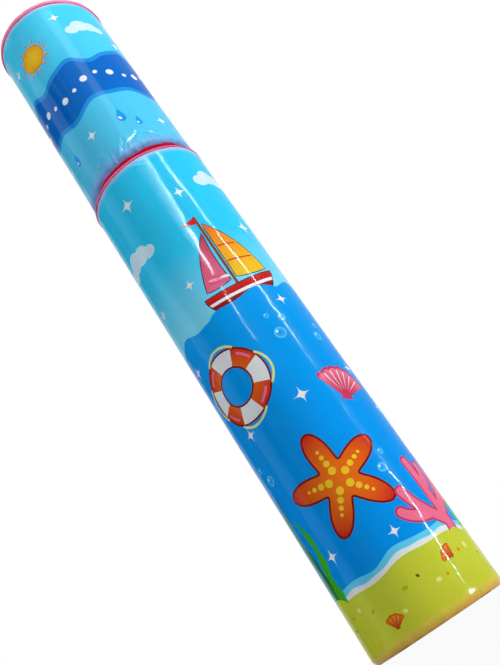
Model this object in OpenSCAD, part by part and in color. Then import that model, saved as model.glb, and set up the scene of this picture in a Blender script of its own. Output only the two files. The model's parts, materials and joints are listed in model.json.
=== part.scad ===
// Foam water squirter: a foam-sleeved pump barrel with a foam-gripped plunger.
// Stands on its nozzle end: the origin is the middle of the front face and +Z runs up to the handle.
// Sizes are in millimetres. The plunger is drawn pushed home.

/* [Barrel] */
// Wall of the barrel's foam sleeve
barrel_wall = 11; // [8:0.5:16]
// Length of the barrel's foam sleeve
barrel_len = 222; // [180:1:300]
// Height of the bare foam rim above the barrel's film
barrel_rim_h = 1.2; // [0.8:0.1:2.4]
// Rounding of the foam edge that the film wraps
foam_edge = 3; // [2:0.5:4]
// How far the bare foam rim swells past the film
rim_swell = 0.5; // [0.2:0.1:1.2]

/* [Handle] */
// Wall of the handle's foam grip
handle_wall = 10.1; // [8:0.1:16]
// Length of the handle's foam grip
handle_len = 105; // [80:0.5:160]
// Height of the bare foam rim above the handle's film
handle_rim_h = 2.6; // [1.2:0.1:3.4]
// Gap between the handle and the barrel when pushed home
handle_gap = 3.5; // [1:0.5:6]

/* [Film] */
// Thickness of the printed film
film_t = 0.3; // [0.15:0.05:0.4]
// Angle that the film wraps round the foam's lower edge
film_wrap = 52; // [30:1:55]

/* [Pump tube] */
// Wall of the pump tube and of the handle's inner tube
tube_wall = 2; // [1.5:0.1:3]
// How far the flanges reach past the tubes
flange_lip = 3; // [2:0.2:4]
// Thickness of the flanges
flange_t = 3; // [2:0.2:4]
// Length of the spigots that plug the tubes
spigot_len = 12; // [9:0.5:16]

/* [Nozzle] */
// Bore of the jet
jet_d = 5; // [3:0.5:8]
// Length of the jet's straight bore
jet_len = 8; // [6:0.5:10]
// Diameter of the boss round the jet
boss_d = 14; // [11:0.5:18]
// Depth of the nozzle's flange behind the front face
nozzle_recess = 2; // [1.6:0.2:3]
// Ribs on the nozzle's face
rib_count = 6; // [4:1:10]

/* [Plunger] */
// Room between the plunger rod and the tube's bore, for the rings and stops
rod_room = 6; // [5:0.5:8]
// Wall of the plunger rod
rod_wall = 2; // [1.5:0.1:2.5]
// Length of the piston
piston_len = 18; // [16:0.5:24]
// Gap between the nozzle's spigot and the piston when pushed home
piston_rest_gap = 1.5; // [0.5:0.5:4]
// Cord diameter of the rubber rings
ring_cord = 2.4; // [2:0.1:2.6]
// Thickness of the rubber stop washers
stop_t = 3; // [2:0.2:5]
// Depth of the rear guide below the barrel's rear face
guide_recess = 5; // [4:0.5:8]
// Depth of the end cap below the handle's rear face
cap_recess = 4.4; // [4:0.2:6]

/* [Screws] */
// Diameter of the self-tapping screws
screw_d = 3.5; // [3:0.1:4]
// Length of the screws below their heads
screw_len = 18; // [14:1:22]
// Length of the plugs in the rod's ends that the screws bite
plug_len = 20; // [18:1:30]
// Wall of those plugs round their screws
plug_wall = 4.1; // [3:0.1:6]

/* [Fits] */
// Radial gap where pieces of one assembly are pressed or glued together
fit_gap = 0.1; // [0.05:0.05:0.2]
// Radial gap of the rod in its guide
run_gap = 0.1; // [0.05:0.05:0.2]
// Radial gap of the piston in the tube
piston_gap = 0.3; // [0.2:0.05:0.5]
// Radial gap on both sides of a rubber ring
ring_gap = 0.06; // [0.04:0.02:0.1]
// End gap between faces that stop each other
seat_gap = 0.1; // [0.05:0.05:0.3]

/* [Hidden] */
$fn = 96;

// Steps of a quarter round
arc_steps = 8;
// How far a cutting tool runs past the face that it cuts
overrun = 1;

// Small sizes of the moulded pieces
moulded_edge = 0.6;
guide_lead = 0.8;
piston_chamfer = 0.8;
groove_land = 2.6;
boss_clear = 0.5;
rib_w = 1.4;
rib_h = 0.9;
funnel_rim = 2;
bush_recess = 1;
nose_wall = 4;
vent_count = 4;
vent_share = 0.44;
cap_dish = 0.8;
cap_rim_w = 3;

// Small sizes of the screws and their washers
head_d = 7;
head_h = 2.4;
head_edge = 0.8;
shank_gap = 0.05;
hole_gap = 0.2;
tip_len = 3;
cross_w = 1.1;
cross_len = 4.4;
cross_depth = 1.4;
washer_d = 10;
washer_t = 0.8;
washer_edge_gap = 0.6;
web_t = 4;

// Radii, worked outwards from the screws
screw_r = screw_d / 2;
screw_hole_r = screw_r + hole_gap;
pilot_r = screw_r + shank_gap;
plug_r = pilot_r + plug_wall;
rod_bore_r = plug_r + fit_gap;
rod_r = rod_bore_r + rod_wall;
socket_r = rod_r + fit_gap;
bore_r = rod_r + rod_room;
tube_r = bore_r + tube_wall;
flange_r = tube_r + flange_lip;
pocket_r = flange_r + fit_gap;
sleeve_r = tube_r + fit_gap;
spigot_r = bore_r - fit_gap;
barrel_foam_r = sleeve_r + barrel_wall;
handle_foam_r = sleeve_r + handle_wall;
barrel_d = 2 * (barrel_foam_r + fit_gap + film_t);
handle_d = 2 * (handle_foam_r + fit_gap + film_t);
barrel_rim_r = barrel_d / 2 + rim_swell;
handle_rim_r = handle_d / 2 + rim_swell;
piston_r = bore_r - piston_gap;
ring_r = bore_r - ring_gap - ring_cord / 2;
groove_r = ring_r - ring_cord / 2 - ring_gap;
groove_w = ring_cord + 2 * ring_gap;
washer_r = washer_d / 2;
head_pocket_r = washer_r + washer_edge_gap;

// Heights of the barrel's pieces
nozzle_low_z = nozzle_recess;
tube_low_z = nozzle_low_z + flange_t;
nozzle_end_z = tube_low_z + spigot_len;
guide_high_z = barrel_len - guide_recess;
tube_high_z = guide_high_z - flange_t;
guide_low_z = tube_high_z - spigot_len;
pull_stop_z = guide_low_z - stop_t;
barrel_film_z = barrel_len - barrel_rim_h;
nozzle_seal_z = tube_low_z + spigot_len / 2;

// Heights of the plunger's pieces, pushed home
piston_low_z = nozzle_end_z + piston_rest_gap;
piston_high_z = piston_low_z + piston_len;
screw_seat_z = piston_low_z + head_h + washer_t + seat_gap;
rod_low_z = screw_seat_z + web_t;
front_ring_z = piston_low_z + groove_land + groove_w / 2;
rear_ring_z = piston_high_z - groove_land - groove_w / 2;
push_stop_z = guide_high_z + seat_gap;
nose_z = push_stop_z + stop_t;
handle_low_z = barrel_len + handle_gap;
bush_low_z = handle_low_z + bush_recess;
handle_tube_low_z = bush_low_z + flange_t;
handle_high_z = handle_low_z + handle_len;
handle_film_z = handle_high_z - handle_rim_h;
cap_high_z = handle_high_z - cap_recess;
cap_low_z = cap_high_z - flange_t;

// The plunger's stroke, from pushed home to the rear stop
stroke = pull_stop_z - piston_high_z - seat_gap;
echo(stroke = stroke, overall = handle_high_z, barrel_d = barrel_d, handle_d = handle_d);

// Points of an arc about (r, z), counted from angle a0 to a1
function arc(r, z, radius, a0, a1) =
    [for (i = [0 : arc_steps])
        let (a = a0 + (a1 - a0) * i / arc_steps) [r + radius * cos(a), z + radius * sin(a)]];

// A ring with a square section
module ring(inner_r, outer_r, low_z, high_z) {
    translate([0, 0, low_z])
        difference() {
            cylinder(r = outer_r, h = high_z - low_z);
            translate([0, 0, -overrun])
                cylinder(r = inner_r, h = high_z - low_z + 2 * overrun);
        }
}

// A rubber ring with a round section
module o_ring(z) {
    rotate_extrude()
        translate([ring_r, z])
            circle(d = ring_cord);
}

// Points of the groove that a rubber ring at height z sits in, on a wall of radius wall_r
function groove(wall_r, z) =
    [[wall_r, z - groove_w / 2], [groove_r, z - groove_w / 2],
     [groove_r, z + groove_w / 2], [wall_r, z + groove_w / 2]];

// A foam sleeve: a rounded lower edge for the film, a swollen bare rim on top,
// and a pocket in each end for a flange
module foam_sleeve(foam_r, rim_r, rim_h, low_z, high_z, low_pocket_z, high_pocket_z) {
    bead_r = rim_h / 2;
    rotate_extrude()
        polygon(concat(
            arc(foam_r - foam_edge, low_z + foam_edge, foam_edge, -90, 0),
            [[foam_r, high_z - rim_h]],
            arc(rim_r - bead_r, high_z - bead_r, bead_r, -90, 90),
            [[pocket_r, high_z], [pocket_r, high_pocket_z],
             [sleeve_r, high_pocket_z], [sleeve_r, low_pocket_z],
             [pocket_r, low_pocket_z], [pocket_r, low_z]]));
}

// The film round a foam sleeve, from its wrapped lower edge to its straight upper edge
module film_sleeve(foam_r, low_z, high_z) {
    inner_edge = foam_edge + fit_gap;
    outer_edge = inner_edge + film_t;
    centre_r = foam_r - foam_edge;
    centre_z = low_z + foam_edge;
    rotate_extrude()
        polygon(concat(
            arc(centre_r, centre_z, outer_edge, -film_wrap, 0),
            [[centre_r + outer_edge, high_z], [centre_r + inner_edge, high_z]],
            arc(centre_r, centre_z, inner_edge, 0, -film_wrap)));
}

// A pan-head self-tapping screw, drawn with its head's underside at z = 0 and its tip pointing up
module screw() {
    difference() {
        rotate_extrude()
            polygon(concat(
                [[0, -head_h]],
                arc(head_d / 2 - head_edge, head_edge - head_h, head_edge, -90, 0),
                [[head_d / 2, 0], [screw_r, 0], [screw_r, screw_len - tip_len],
                 [0, screw_len]]));
        for (turn = [0, 90])
            rotate(turn)
                translate([-cross_len / 2, -cross_w / 2, -head_h - overrun])
                    cube([cross_len, cross_w, cross_depth + overrun]);
    }
}

// A plug in an end of the rod, with a pilot hole for its screw
module rod_plug(low_z) {
    ring(pilot_r, plug_r, low_z, low_z + plug_len);
}

module barrel_foam() {
    color("hotpink")
        foam_sleeve(barrel_foam_r, barrel_rim_r, barrel_rim_h, 0, barrel_len, tube_low_z, tube_high_z);
}

module barrel_film() {
    color("deepskyblue")
        film_sleeve(barrel_foam_r, 0, barrel_film_z - fit_gap);
}

module pump_tube() {
    color("white")
        ring(bore_r, tube_r, tube_low_z, tube_high_z);
}

// Flange and spigot with the jet bored through, a funnel behind it and a ribbed boss in front
module nozzle_plug() {
    boss_low_z = boss_clear;
    jet_high_z = boss_low_z + jet_len;
    color("white") {
        rotate_extrude()
            polygon(concat(
                [[jet_d / 2, boss_low_z]],
                arc(boss_d / 2 - moulded_edge, boss_low_z + moulded_edge, moulded_edge, -90, 0),
                [[boss_d / 2, nozzle_low_z]],
                arc(flange_r - moulded_edge, nozzle_low_z + moulded_edge, moulded_edge, -90, 0),
                [[flange_r, tube_low_z], [spigot_r, tube_low_z]],
                groove(spigot_r, nozzle_seal_z),
                [[spigot_r, nozzle_end_z], [groove_r - funnel_rim, nozzle_end_z],
                 [jet_d / 2, jet_high_z]]));
        for (i = [0 : rib_count - 1])
            rotate(360 * i / rib_count)
                translate([boss_d / 2 - moulded_edge, -rib_w / 2, nozzle_low_z - rib_h])
                    cube([flange_r - moulded_edge - boss_d / 2, rib_w, rib_h + flange_t / 2]);
    }
}

module nozzle_seal() {
    color("dimgray")
        o_ring(nozzle_seal_z);
}

// Flange and spigot that guide the rod, with vents for the air behind the piston
module rear_guide() {
    guide_r = rod_r + run_gap;
    vent_ring_r = (guide_r + spigot_r) / 2;
    vent_d = vent_share * (spigot_r - guide_r);
    color("white")
        difference() {
            rotate_extrude()
                polygon(concat(
                    [[guide_r, guide_low_z], [spigot_r, guide_low_z], [spigot_r, tube_high_z],
                     [flange_r, tube_high_z]],
                    arc(flange_r - moulded_edge, guide_high_z - moulded_edge, moulded_edge, 0, 90),
                    [[guide_r + guide_lead, guide_high_z], [guide_r, guide_high_z - guide_lead]]));
            for (i = [0 : vent_count - 1])
                rotate(360 * i / vent_count)
                    translate([vent_ring_r, 0, guide_low_z - overrun])
                        cylinder(d = vent_d, h = guide_high_z - guide_low_z + 2 * overrun);
        }
}

module pull_stop_washer() {
    color("dimgray")
        ring(rod_r + piston_gap, bore_r - fit_gap, pull_stop_z, guide_low_z);
}

module front_piston_ring() {
    color("dimgray")
        o_ring(front_ring_z);
}

module rear_piston_ring() {
    color("dimgray")
        o_ring(rear_ring_z);
}

// Piston with two ring grooves, a pocket in front for the screw and a socket behind for the rod
module piston_head() {
    color("white")
        rotate_extrude()
            polygon(concat(
                [[screw_hole_r, screw_seat_z], [head_pocket_r, screw_seat_z],
                 [head_pocket_r, piston_low_z], [piston_r - piston_chamfer, piston_low_z],
                 [piston_r, piston_low_z + piston_chamfer]],
                groove(piston_r, front_ring_z),
                groove(piston_r, rear_ring_z),
                [[piston_r, piston_high_z - piston_chamfer],
                 [piston_r - piston_chamfer, piston_high_z], [socket_r, piston_high_z],
                 [socket_r, rod_low_z], [screw_hole_r, rod_low_z]]));
}

module piston_washer() {
    color("silver")
        ring(screw_hole_r, washer_r, screw_seat_z - washer_t, screw_seat_z);
}

module piston_screw() {
    color("silver")
        translate([0, 0, screw_seat_z - washer_t])
            screw();
}

module rod_front_plug() {
    color("white")
        rod_plug(rod_low_z);
}

module plunger_rod() {
    color("white")
        ring(rod_bore_r, rod_r, rod_low_z, cap_low_z);
}

module rod_rear_plug() {
    color("white")
        rod_plug(cap_low_z - plug_len);
}

module push_stop_washer() {
    color("dimgray")
        ring(socket_r, rod_r + nose_wall, push_stop_z, nose_z);
}

// Bush that centres the rod in the handle's tube, with a nose that reaches down to the rear guide
module handle_bush() {
    color("white")
        rotate_extrude()
            polygon(concat(
                [[socket_r, nose_z], [rod_r + nose_wall, nose_z], [rod_r + nose_wall, bush_low_z]],
                arc(flange_r - moulded_edge, bush_low_z + moulded_edge, moulded_edge, -90, 0),
                [[flange_r, handle_tube_low_z], [spigot_r, handle_tube_low_z],
                 [spigot_r, handle_tube_low_z + spigot_len],
                 [socket_r, handle_tube_low_z + spigot_len]]));
}

module handle_tube() {
    color("white")
        ring(bore_r, tube_r, handle_tube_low_z, cap_low_z);
}

module handle_foam() {
    color("hotpink")
        foam_sleeve(handle_foam_r, handle_rim_r, handle_rim_h, handle_low_z, handle_high_z,
            handle_tube_low_z, cap_low_z);
}

module handle_film() {
    color("skyblue")
        film_sleeve(handle_foam_r, handle_low_z, handle_film_z - fit_gap);
}

// Cap with a dished face, a screw hole and a socket for the rod's rear end
module handle_cap() {
    color("white")
        rotate_extrude()
            polygon(concat(
                [[screw_hole_r, cap_low_z], [socket_r, cap_low_z], [socket_r, cap_low_z - spigot_len],
                 [spigot_r, cap_low_z - spigot_len], [spigot_r, cap_low_z], [flange_r, cap_low_z]],
                arc(flange_r - moulded_edge, cap_high_z - moulded_edge, moulded_edge, 0, 90),
                [[flange_r - cap_rim_w, cap_high_z],
                 [flange_r - cap_rim_w - cap_dish, cap_high_z - cap_dish],
                 [screw_hole_r, cap_high_z - cap_dish]]));
}

module handle_washer() {
    seat_z = cap_high_z - cap_dish;
    color("silver")
        ring(screw_hole_r, washer_r, seat_z, seat_z + washer_t);
}

module handle_screw() {
    color("silver")
        translate([0, 0, cap_high_z - cap_dish + washer_t])
            mirror([0, 0, 1])
                screw();
}

barrel_foam();
barrel_film();
pump_tube();
nozzle_plug();
nozzle_seal();
rear_guide();
pull_stop_washer();
front_piston_ring();
rear_piston_ring();
piston_head();
piston_washer();
piston_screw();
rod_front_plug();
plunger_rod();
rod_rear_plug();
push_stop_washer();
handle_bush();
handle_tube();
handle_foam();
handle_film();
handle_cap();
handle_washer();
handle_screw();
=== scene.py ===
# Foam water squirter: a pump in two foam sleeves under glossy printed film.
# The frame is in metres. Sizes here are in millimetres until a mesh is made.
import json
import math

import bpy
import numpy as np
from mathutils import Matrix, Vector
from mathutils.geometry import delaunay_2d_cdt
from mathutils.kdtree import KDTree


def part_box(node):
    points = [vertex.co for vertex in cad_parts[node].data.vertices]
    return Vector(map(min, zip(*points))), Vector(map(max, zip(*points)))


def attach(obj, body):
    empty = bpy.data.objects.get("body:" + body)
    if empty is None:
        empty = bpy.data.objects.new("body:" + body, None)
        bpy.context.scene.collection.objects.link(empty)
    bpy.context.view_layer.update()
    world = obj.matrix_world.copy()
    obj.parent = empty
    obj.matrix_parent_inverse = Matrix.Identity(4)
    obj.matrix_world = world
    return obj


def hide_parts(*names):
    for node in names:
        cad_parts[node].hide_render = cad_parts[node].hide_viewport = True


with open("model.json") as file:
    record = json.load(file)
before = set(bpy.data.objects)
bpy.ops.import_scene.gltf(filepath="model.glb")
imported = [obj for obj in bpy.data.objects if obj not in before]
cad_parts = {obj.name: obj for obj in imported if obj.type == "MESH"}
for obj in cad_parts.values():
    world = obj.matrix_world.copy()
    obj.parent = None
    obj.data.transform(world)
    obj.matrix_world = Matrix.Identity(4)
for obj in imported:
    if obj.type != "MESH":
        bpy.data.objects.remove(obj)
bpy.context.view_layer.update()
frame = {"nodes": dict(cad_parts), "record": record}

MM = 0.001

# Sizes of the film that the frame's boxes don't give
FILM_STANDOFF = 0.4
FILM_THICK = 0.2
BARREL_WRAP = math.radians(60)
HANDLE_WRAP = math.radians(52)
SEAM_WIDTH = 4.0
SEAM_RISE = 0.1
SEAM_SOFTNESS = 0.5
SWAY_REACH = 20.0
FLOOR_GAP = 0.03
VEIL_DEPTH = 3.0
VEIL_SHARE = 0.7
CRINKLED_TOP = 6.0

# Uneven edges of the film, as waves round the axis: turns, height and phase
TOP_WANDER = ((3, 0.12, 1), (8, 0.07, 0))
WRAP_WANDER = ((5, 0.1, 1), (13, 0.07, 0))
LEVEL = (0, 0, 0)

# Sizes of the foam
FOAM_EDGE = 3.0
FOAM_SLACK = 0.1
FIT_GAP = 0.1
RIM_ROOM = 0.08
MOUTH_ROUND = 0.5
BEAD_ROUND = 0.6
CROWN_ROUND = 0.9
FLARE = 0.2
FLARE_DEPTH = 0.6
PROFILE_GAP = 0.1
FOAM_SEGMENTS = 240
FOAM_CREASE = math.radians(50)

# How finely the film is cut into triangles
PRINT_STEP = 1.0
EDGE_STEP = 0.45
EDGE_ZONE = 8.0
OUTLINE_STEP = 0.7
OUTLINE_ROOM = 0.35
NORMAL_STEP = 0.2
LINING_STEP = 3.0
WRAP_RINGS = 4
SAME_PLACE = 1e-4
CUT_ACCURACY = 1e-5

# Heights on the flat map: the print takes the lower part and the lining the rest
PRINT_MAP = 0.97
LINING_MAP = 0.973
LINING_MAP_HEIGHT = 0.025

# Most of a noise lies between these two values
NOISE_LOW = 0.3
NOISE_HIGH = 0.7

# Motifs
STAR_ARMS = 5
STAR_WAIST = 0.36
SHELL_OPENING = 112
PEBBLES = 34
BAND_DOTS = 26


def node_size(node):
    """Radius, lowest and highest point of a round CAD node, in millimetres."""
    low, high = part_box(node)
    return high.x / MM, low.z / MM, high.z / MM


def unit(vectors):
    return vectors / np.maximum(np.linalg.norm(vectors, axis=-1), 1e-9)[..., None]


def add_object(name, data):
    added = bpy.data.objects.new(name, data)
    bpy.context.scene.collection.objects.link(added)
    return added


def add_mesh(name, points, faces, *materials):
    """A new object with a smooth mesh."""
    mesh = bpy.data.meshes.new(name)
    mesh.from_pydata(points, [], faces, shade_flat=False)
    for material in materials:
        mesh.materials.append(material)
    return add_object(name, mesh)


# Colours, given as the 0 to 255 values of a screen and kept as linear light


def ink(red, green, blue):
    values = np.array([red, green, blue]) / 255
    return np.where(values <= 0.04045, values / 12.92, ((values + 0.055) / 1.055) ** 2.4)


WHITE = ink(246, 248, 250)
CLOUD = ink(212, 242, 253)
HANDLE_SKY = ink(70, 216, 253)
HANDLE_SKY_LOW = ink(84, 202, 242)
SKY = ink(44, 208, 252)
SKY_PALE = ink(128, 226, 253)
SEA_TOP = ink(0, 164, 250)
SEA_LOW = ink(0, 152, 244)
SEA_PALE = ink(100, 214, 250)
NAVY = ink(0, 108, 204)
NAVY_PALE = ink(30, 150, 232)
SAND = ink(207, 215, 58)
SAND_LOW = ink(204, 207, 52)
SAND_DARK = ink(184, 188, 30)
SAND_PALE = ink(238, 240, 134)
SURF = ink(236, 242, 240)
RED = ink(214, 36, 28)
RED_DARK = ink(128, 14, 20)
ORANGE = ink(245, 118, 22)
ORANGE_DARK = ink(198, 70, 10)
YELLOW = ink(252, 208, 40)
GREEN = ink(66, 184, 40)
GREEN_DARK = ink(22, 128, 36)
PINK = ink(246, 116, 150)
PINK_DARK = ink(206, 56, 98)
BROWN = ink(134, 78, 36)
OUTLINE = ink(20, 40, 84)
FOAM_PINK = ink(255, 122, 176)
FOAM_PALE = ink(255, 150, 194)
FOAM_DARK = ink(246, 88, 146)
# Painted shade: the deeper red of foam faces turned along the axis
FOAM_PAINTED_SHADE = ink(236, 22, 88)
FOAM_VEILED = ink(244, 208, 242)
# Foam seen through the film at the barrel's lower edge, made paler as painted light against the floor's
# shade
FOAM_UNDER_SAND_PAINTED_LIGHT = ink(240, 190, 94)
FOAM_UNDER_SKY = ink(150, 162, 236)


# Fills: each gives the ink at flat positions u (round the film) and v (along it)


def blend(first, second, share):
    return first + (second - first) * np.clip(share, 0, 1)[..., None]


def plain(colour):
    return lambda u, v: np.broadcast_to(colour, u.shape + (3,))


def fade(low, high, low_v, high_v):
    return lambda u, v: blend(low, high, (v - low_v) / (high_v - low_v))


def glow(middle, rim, centre, radius):
    return lambda u, v: blend(middle, rim, (np.hypot(u - centre[0], v - centre[1]) / radius) ** 2)


def veiled_top(fill, film):
    """The same fill, paling to the film's cut upper edge, where the foam shows through."""
    def paled(u, v):
        nearness = np.clip(1 - (film.high - v) / VEIL_DEPTH, 0, 1)
        return blend(fill(u, v), FOAM_VEILED, VEIL_SHARE * nearness ** 2)
    return paled


# Outlines: each is a list of points in a motif's own place


def around(radius, angle):
    """Points at a distance from the middle, at angles in radians."""
    return np.stack([radius * np.cos(angle), radius * np.sin(angle)], -1)


def full_turn(count):
    return np.linspace(0, 2 * math.pi, count, endpoint=False)


def oval(width, height, count=40):
    return around(1, full_turn(count)) * [width / 2, height / 2]


def disc(width, count):
    return oval(width, width, count)


def sector(inner, outer, start, end, count=16):
    """A piece of a ring between two angles in degrees."""
    angle = np.radians(np.linspace(start, end, count))
    inside = around(inner, angle[::-1]) if inner else [[0, 0]]
    return np.concatenate([around(outer, angle), inside])


def ribbon(path, widths):
    """A strip along a path with a width at each point and a round tip."""
    along = unit(np.gradient(path, axis=0))
    across = np.stack([along[:, 1], -along[:, 0]], -1)
    half = widths[:, None] / 2
    turn = np.linspace(0, math.pi, 9)[1:-1, None]
    tip = path[-1] + half[-1] * (np.cos(turn) * across[-1] + np.sin(turn) * along[-1])
    return np.concatenate([path + half * across, tip, (path - half * across)[::-1]])


def curve(points, share):
    """Points on the way from the first point to the third, bent towards the second."""
    start, pull, end = points
    return (1 - share) ** 2 * start + 2 * share * (1 - share) * pull + share ** 2 * end


def bends(*corners):
    """A closed outline of curved sides. Each corner is followed by the point its side bends towards."""
    share = np.linspace(0, 1, 12, endpoint=False)[:, None]
    sides = [np.take(corners, (i, i + 1, i + 2), 0, mode="wrap") for i in range(0, len(corners), 2)]
    return np.concatenate([curve(side, share) for side in sides])


def outset(outline, distance):
    """The same outline, moved out all round. It runs anticlockwise."""
    along = unit(np.roll(outline, -1, axis=0) - np.roll(outline, 1, axis=0))
    return outline + distance * np.stack([along[:, 1], -along[:, 0]], -1)


def starfish_outline(radius):
    angle = full_turn(28 * STAR_ARMS)
    wave = 0.5 + 0.5 * np.cos(STAR_ARMS * angle)
    return around(radius * (STAR_WAIST + (1 - STAR_WAIST) * wave ** 1.25), angle)


def sparkle_outline(radius):
    angle = full_turn(64)
    spread = np.abs(np.cos(angle)) ** 0.5 + np.abs(np.sin(angle)) ** 0.5
    return around(radius / spread ** 2, angle)


def shell_outline(radius, ribs):
    """A fan with a scalloped rim, standing on its hinge."""
    count = 12 * ribs + 1
    angle = np.radians(np.linspace(90 - SHELL_OPENING / 2, 90 + SHELL_OPENING / 2, count))
    share = np.linspace(0, ribs, count)
    scallop = radius * (0.94 + 0.06 * np.abs(np.sin(math.pi * share)) ** 0.7)
    hinge = np.array([[-0.14, -0.02], [-0.2, -0.12], [0.2, -0.12], [0.14, -0.02]]) * radius
    return np.concatenate([around(scallop, angle), hinge])


def drop_outline(length):
    angle = full_turn(40)
    width = 0.34 * length * np.sin(angle) * np.sin(angle / 2) ** 1.4
    return np.stack([width, 0.5 * length * np.cos(angle)], -1)


def beside(at, scale, x, y):
    """A place next to another, in shares of a scale."""
    return at[0] + x * scale, at[1] + y * scale


def scatter(draw, rows):
    """Draws a motif at each place u and v, in a size of its own."""
    for u, v, size in rows:
        draw((u, v), size)


class Print:
    """The shapes printed on one film, from the first laid down to the topmost."""

    def __init__(self):
        self.shapes = []

    def add(self, outline, fill, at, turn=0, scale=1, rim=None, rim_width=0):
        """Places an outline. A fill is a colour, or a function of the placed position."""
        cos = math.cos(math.radians(turn))
        sin = math.sin(math.radians(turn))
        placed = np.asarray(outline) * scale @ np.array([[cos, sin], [-sin, cos]]) + at
        after = np.roll(placed, -1, axis=0)
        if np.sum(placed[:, 0] * after[:, 1] - after[:, 0] * placed[:, 1]) < 0:
            placed = placed[::-1]
        if rim is not None:
            self.shapes.append((outset(placed, rim_width), plain(rim)))
        self.shapes.append((placed, fill if callable(fill) else plain(fill)))

    def starfish(self, at, radius, turn, body=ORANGE, rim=RED_DARK, spot=YELLOW):
        self.add(starfish_outline(radius), glow(body, RED, at, radius), at, turn, 1, rim, 0.8)
        for arm in range(STAR_ARMS):
            angle = math.radians(turn + 360 / STAR_ARMS * arm)
            for share, size in ((0.2, 0.15), (0.36, 0.12), (0.5, 0.09), (0.62, 0.065)):
                spot_at = beside(at, radius * share, math.cos(angle), math.sin(angle))
                self.add(disc(radius * size, 18), spot, spot_at)

    def lifebuoy(self, at, radius, turn, water):
        inner = 0.52 * radius
        rim = 0.05 * radius
        reach = radius * (1 + 0.1 * np.sin(np.linspace(0, math.pi, 14)))
        self.add(disc(2 * radius, 72), RED_DARK, at)
        self.add(disc(2 * (radius - rim), 72), glow(WHITE, SURF, at, radius), at)
        for start in range(turn, turn + 360, 90):
            self.add(sector(inner, radius - rim, start, start + 44), glow(ORANGE, RED, at, radius), at)
            self.add(sector(0.8 * radius, 0.87 * radius, start + 6, start + 34), PINK, at)
            rope = around(reach, np.radians(np.linspace(start + 40, start + 94, 14)))
            self.add(ribbon(rope, np.full(14, 0.06 * radius)), SAND_PALE, at)
        self.add(disc(2 * inner, 48), RED_DARK, at)
        self.add(disc(2 * (inner - rim), 48), water, at)

    def shell(self, at, radius, turn, body=PINK, rim=PINK_DARK, rib=WHITE, ribs=7):
        self.add(shell_outline(radius, ribs), rim, at, turn)
        self.add(shell_outline(radius * 0.92, ribs), glow(rim, body, at, radius * 0.8), at, turn)
        for i in range(1, ribs):
            angle = 90 - SHELL_OPENING / 2 + SHELL_OPENING * i / ribs
            wedge = around(np.array([0.16, 0.84, 0.84]), np.radians([angle, angle - 1.3, angle + 1.3]))
            self.add(wedge, rib, at, turn, radius)

    def bubble(self, at, size):
        self.add(disc(size, 32), SEA_PALE, at)
        self.add(disc(0.82 * size, 32), glow(SEA_TOP, SEA_PALE, at, 0.6 * size), at)
        self.add(oval(0.26 * size, 0.18 * size, 16), WHITE, beside(at, size, -0.19, 0.2), 40)

    def sparkle(self, at, radius):
        self.add(sparkle_outline(radius), WHITE, at)

    def cloud(self, at, width):
        for x, y, size in ((-0.34, 0.0, 0.34), (-0.1, 0.1, 0.46), (0.16, 0.06, 0.4), (0.37, -0.02, 0.28)):
            self.add(oval(size * width, 0.82 * size * width), CLOUD, beside(at, width, x, y))

    def seaweed(self, at, height, sway, colour, width):
        share = np.linspace(0, 1, 26)
        bend = sway * np.sin(share * 2.1 * math.pi + 0.4) * (0.35 + 0.65 * share)
        path = np.stack([bend, height * share], -1)
        widths = width * (0.75 + 0.5 * np.sin(share * 3.2 * math.pi) ** 2) * (1 - 0.7 * share ** 2)
        self.add(ribbon(path, widths), colour, at)

    def coral(self, at, height, colour, rim):
        branches = (
            ((0, 0), (0.04, 0.5), (-0.02, 0.98)), ((0.02, 0.3), (0.26, 0.5), (0.34, 0.8)),
            ((0, 0.22), (-0.26, 0.38), (-0.36, 0.7)), ((0.22, 0.46), (0.42, 0.52), (0.52, 0.66)),
            ((-0.2, 0.36), (-0.4, 0.36), (-0.5, 0.5)), ((0, 0.6), (0.14, 0.72), (0.16, 0.9)))
        share = np.linspace(0, 1, 14)[:, None]
        for grow, paint in ((0.05, rim), (0, colour)):
            for branch in branches:
                path = curve(height * np.array(branch), share)
                self.add(ribbon(path, height * (0.13 - 0.03 * share[:, 0] + grow)), paint, at)

    def sailboat(self, at, size):
        def draw(outline, fill, rim=None):
            self.add(outline, fill, at, 0, size, rim, 0.4)

        def shaded(low, high, low_share, high_share):
            return fade(low, high, at[1] + low_share * size, at[1] + high_share * size)

        hull = bends(
            (-0.45, 0.2), (0.03, 0.15), (0.52, 0.23), (0.42, -0.03), (0.3, -0.05), (0, -0.05),
            (-0.3, -0.05), (-0.42, 0))
        stripe = bends(
            (-0.43, 0.12), (0.03, 0.07), (0.475, 0.135), (0.47, 0.11), (0.46, 0.09), (0.03, 0.03),
            (-0.41, 0.08), (-0.42, 0.1))
        main = bends((0.04, 0.27), (0.04, 0.7), (0.04, 1.12), (0.38, 0.76), (0.46, 0.27), (0.25, 0.22))
        jib = bends((-0.05, 0.27), (-0.09, 0.62), (-0.03, 1.0), (-0.26, 0.7), (-0.37, 0.27), (-0.2, 0.22))
        draw([(-0.018, 0.16), (0.018, 0.16), (0.018, 1.26), (-0.018, 1.26)], BROWN)
        draw([(0.0, 1.14), (-0.2, 1.2), (0.0, 1.25)], RED)
        draw(main, shaded(YELLOW, ORANGE, 0.2, 1.1), OUTLINE)
        for low, reach in ((0.5, 0.38), (0.74, 0.28)):
            draw([(0.05, low), (reach, low - 0.02), (reach, low), (0.05, low + 0.02)], RED)
        draw(jib, shaded(PINK, PINK_DARK, 0.2, 1), OUTLINE)
        draw(hull, shaded(RED_DARK, RED, 0, 0.16), OUTLINE)
        draw(stripe, WHITE)
        x = np.linspace(1, -1, 40)
        crest = (1 - x ** 4) * (0.03 + 0.03 * np.sin(5.6 * x)) - 0.1 * x ** 4
        draw([*np.stack([0.62 * x, crest], -1), (-0.6, -0.14), (0.6, -0.14)], SEA_TOP)

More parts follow.
